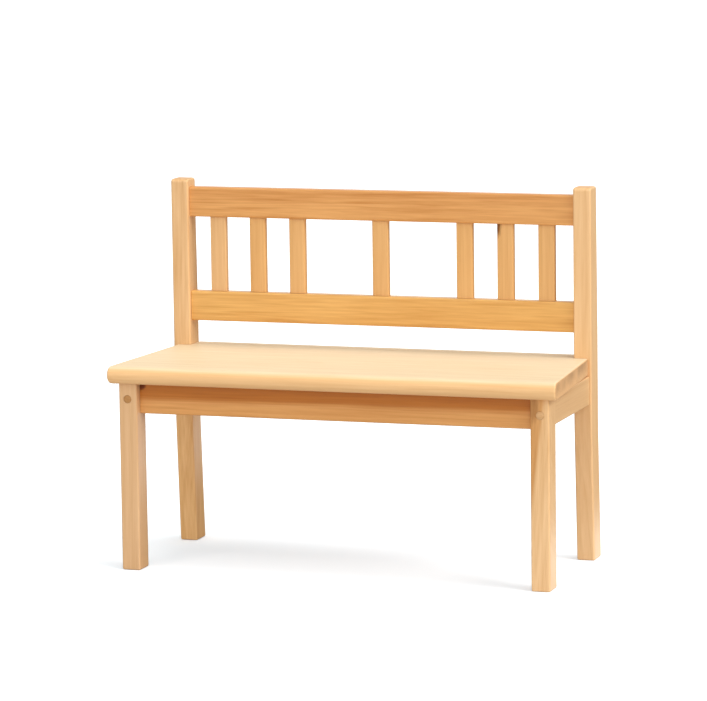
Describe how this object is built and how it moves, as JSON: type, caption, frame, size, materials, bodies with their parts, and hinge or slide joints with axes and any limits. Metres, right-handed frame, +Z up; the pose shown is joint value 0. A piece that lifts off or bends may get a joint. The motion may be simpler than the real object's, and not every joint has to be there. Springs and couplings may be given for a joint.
{
  "type": "children's bench",
  "caption": "Small solid pine bench with a slatted back, a plank seat with a rounded front edge, square legs and swept rear posts.",
  "frame": {"origin": "on the floor, under the middle of the bench's length and depth", "axes": "+X along the seat, to the right when the bench is seen from the front; +Y from the front edge of the seat towards the back rest; +Z up. The sitter faces -Y."},
  "size_m": [0.6506, 0.2779, 0.53],
  "materials": {
    "pine": "satin clear lacquer on solid pine",
    "plug_wood": "satin clear lacquer over end grain",
    "dowel_wood": "bare beech, glued",
    "steel": "zinc plated"
  },
  "bodies": {
    "root": {"seat_board": "pine", "front_leg_left": "pine", "rear_post_left": "pine", "side_apron_left": "pine", "front_leg_right": "pine", "rear_post_right": "pine", "side_apron_right": "pine", "front_apron": "pine", "rear_apron": "pine", "top_back_rail": "pine", "lower_back_rail": "pine", "back_slat_1": "pine", "back_slat_2": "pine", "back_slat_3": "pine", "back_slat_4": "pine", "back_slat_5": "pine", "back_slat_6": "pine", "back_slat_7": "pine", "front_apron_dowel_left_lower": "dowel_wood", "front_apron_dowel_left_upper": "dowel_wood", "front_apron_dowel_right_lower": "dowel_wood", "front_apron_dowel_right_upper": "dowel_wood", "rear_apron_dowel_left_lower": "dowel_wood", "rear_apron_dowel_left_upper": "dowel_wood", "rear_apron_dowel_right_lower": "dowel_wood", "rear_apron_dowel_right_upper": "dowel_wood", "top_back_rail_dowel_left_lower": "dowel_wood", "top_back_rail_dowel_left_upper": "dowel_wood", "top_back_rail_dowel_right_lower": "dowel_wood", "top_back_rail_dowel_right_upper": "dowel_wood", "lower_back_rail_dowel_left_lower": "dowel_wood", "lower_back_rail_dowel_left_upper": "dowel_wood", "lower_back_rail_dowel_right_lower": "dowel_wood", "lower_back_rail_dowel_right_upper": "dowel_wood", "corner_block_front_left": "pine", "frame_bolt_front_left": "steel", "barrel_nut_front_left": "steel", "seat_screw_front_left": "steel", "bolt_plug_front_left": "plug_wood", "corner_block_front_right": "pine", "frame_bolt_front_right": "steel", "barrel_nut_front_right": "steel", "seat_screw_front_right": "steel", "bolt_plug_front_right": "plug_wood", "corner_block_rear_left": "pine", "frame_bolt_rear_left": "steel", "barrel_nut_rear_left": "steel", "seat_screw_rear_left": "steel", "bolt_plug_rear_left": "plug_wood", "corner_block_rear_right": "pine", "frame_bolt_rear_right": "steel", "barrel_nut_rear_right": "steel", "seat_screw_rear_right": "steel", "bolt_plug_rear_right": "plug_wood"}
  },
  "joints": []
}
